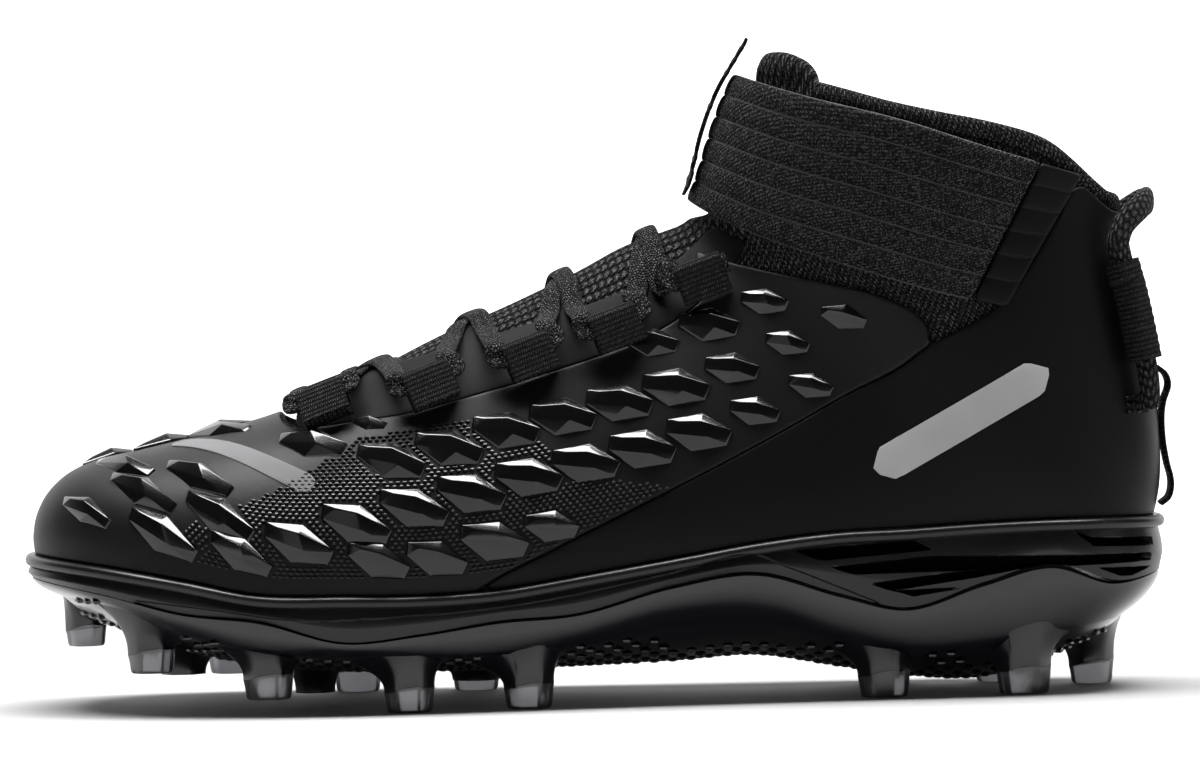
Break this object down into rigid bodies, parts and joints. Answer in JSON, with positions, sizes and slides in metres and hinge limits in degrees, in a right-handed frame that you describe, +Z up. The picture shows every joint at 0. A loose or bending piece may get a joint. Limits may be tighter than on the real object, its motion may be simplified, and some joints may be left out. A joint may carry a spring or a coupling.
{
  "type": "american football cleat",
  "caption": "Mid-height american football cleat with lugged forefoot skin, ankle strap, webbing lace loops, heel pull rope and moulded stud plate; left shoe.",
  "frame": {"origin": "middle of the shoe's bounding box in plan, on the floor under the studs", "axes": "+Z up; the toe points to -X, the heel to +X, the outer side of the foot to -Y and the inner side to +Y"},
  "size_m": [0.302, 0.1023, 0.1694],
  "materials": {
    "knit": "matte knit",
    "film": "satin film with glossy lugs",
    "quarter": "satin",
    "strap": "ribbed elastic",
    "webbing": "ribbed webbing",
    "lace": "braided",
    "rope": "braided, slight sheen",
    "insole": "matte",
    "midsole": "satin foam",
    "plate": "glossy",
    "tip": "smoke, glossy"
  },
  "bodies": {
    "root": {"upper": "knit", "collar_binding": "knit", "tongue": "knit", "vamp_skin": "film", "heel_quarter": "quarter", "ankle_strap": "strap", "strap_tab_outer": "film", "strap_tab_inner": "film", "strap_keeper": "webbing", "laces": "lace", "insole": "insole", "midsole": "midsole", "outsole_plate": "plate", "heel_pull_rope": "rope", "sleeve_outer": "webbing", "sleeve_inner": "webbing", "heel_tape": "webbing", "lace_loop_outer_1": "webbing", "lace_loop_outer_2": "webbing", "lace_loop_outer_3": "webbing", "lace_loop_outer_4": "webbing", "lace_loop_outer_5": "webbing", "lace_loop_inner_1": "webbing", "lace_loop_inner_2": "webbing", "lace_loop_inner_3": "webbing", "lace_loop_inner_4": "webbing", "lace_loop_inner_5": "webbing", "stud_outer_1": "tip", "stud_outer_2": "tip", "stud_outer_3": "tip", "stud_outer_4": "tip", "stud_inner_1": "tip", "stud_inner_2": "tip", "stud_inner_3": "tip", "stud_inner_4": "tip", "stud_heel_outer_front": "tip", "stud_heel_outer_rear": "tip", "stud_heel_inner_front": "tip", "stud_heel_inner_rear": "tip", "stud_heel_back": "tip"}
  },
  "joints": []
}
